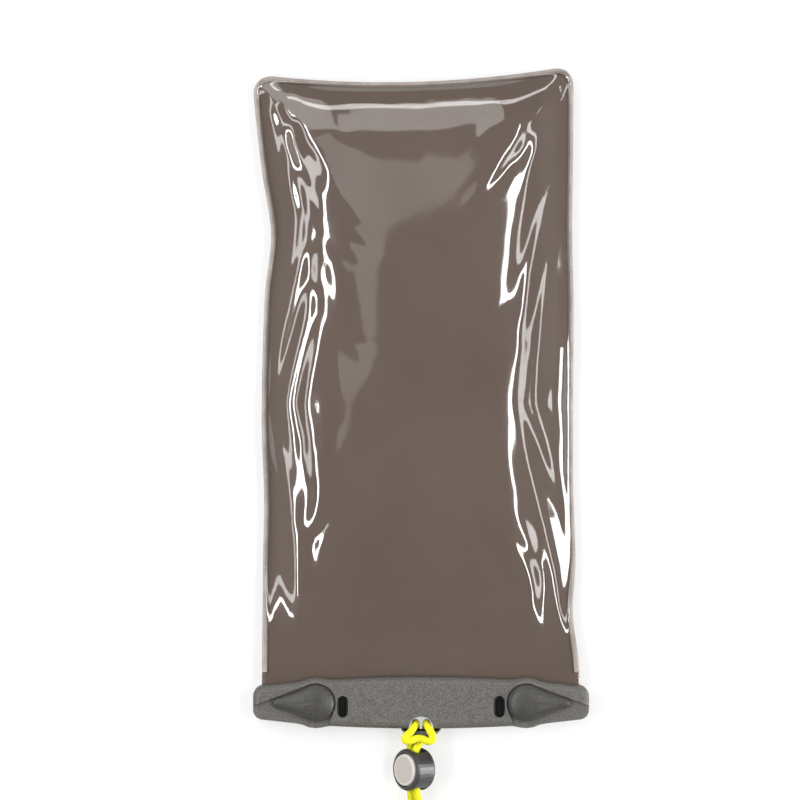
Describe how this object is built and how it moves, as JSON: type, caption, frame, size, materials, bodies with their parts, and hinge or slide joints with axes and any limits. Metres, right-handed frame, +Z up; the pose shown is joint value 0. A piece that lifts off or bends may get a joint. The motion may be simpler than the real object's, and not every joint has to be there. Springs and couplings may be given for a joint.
{
  "type": "waterproof pouch",
  "caption": "Flat waterproof film pouch with a clear front, closed by a clamping clip with twist levers, on a cord lanyard with a cord lock.",
  "frame": {"origin": "Centre of the pouch and its clip on the surface they lie on, without the lanyard", "axes": "+Y towards the pouch's closed end, +X to the right seen from the clear front, +Z up out of the clear front"},
  "size_m": [0.1544, 0.3908, 0.0207],
  "materials": {
    "clear_film": "clear glossy film",
    "taupe_film": "smooth soft film",
    "grey_plastic": "fine matte texture",
    "lever_plastic": "fine matte texture",
    "black_rubber": "smooth black rubber",
    "lock_plastic": "satin black plastic",
    "button_plastic": "satin warm grey plastic",
    "spring_steel": "bright wire",
    "yellow_cord": "braided fluorescent yellow cord"
  },
  "bodies": {
    "pouch": {"front_film": "clear_film", "back_film": "taupe_film", "front_jaw": "grey_plastic", "rear_jaw": "grey_plastic", "front_seal": "black_rubber", "rear_seal": "black_rubber", "left_peg": "black_rubber", "right_peg": "black_rubber", "lock_housing": "lock_plastic", "lock_spring": "spring_steel", "lanyard_cord": "yellow_cord", "lanyard_coil": "yellow_cord", "coil_tie": "black_rubber", "lanyard_ferrule": "black_rubber"},
    "left_lever": {"left_lever": "lever_plastic"},
    "right_lever": {"right_lever": "lever_plastic"},
    "lock_button": {"lock_button": "button_plastic"}
  },
  "joints": [
    {"name": "left_lever_turn", "type": "hinge", "parent": "pouch", "child": "left_lever", "pos_m": [-0.0483, -0.1375, 0], "axis": [0, 0, 1], "range_deg": [0, 90]},
    {"name": "right_lever_turn", "type": "hinge", "parent": "pouch", "child": "right_lever", "pos_m": [0.0483, -0.1375, 0], "axis": [0, 0, -1], "range_deg": [0, 90]},
    {"name": "lock_button_press", "type": "slide", "parent": "pouch", "child": "lock_button", "axis": [0.7771, 0, -0.6293], "range_m": [0, 0.0012], "stiffness_N_per_m": 1500, "springref_m": -0.002, "deforming": ["lock_spring"]}
  ]
}
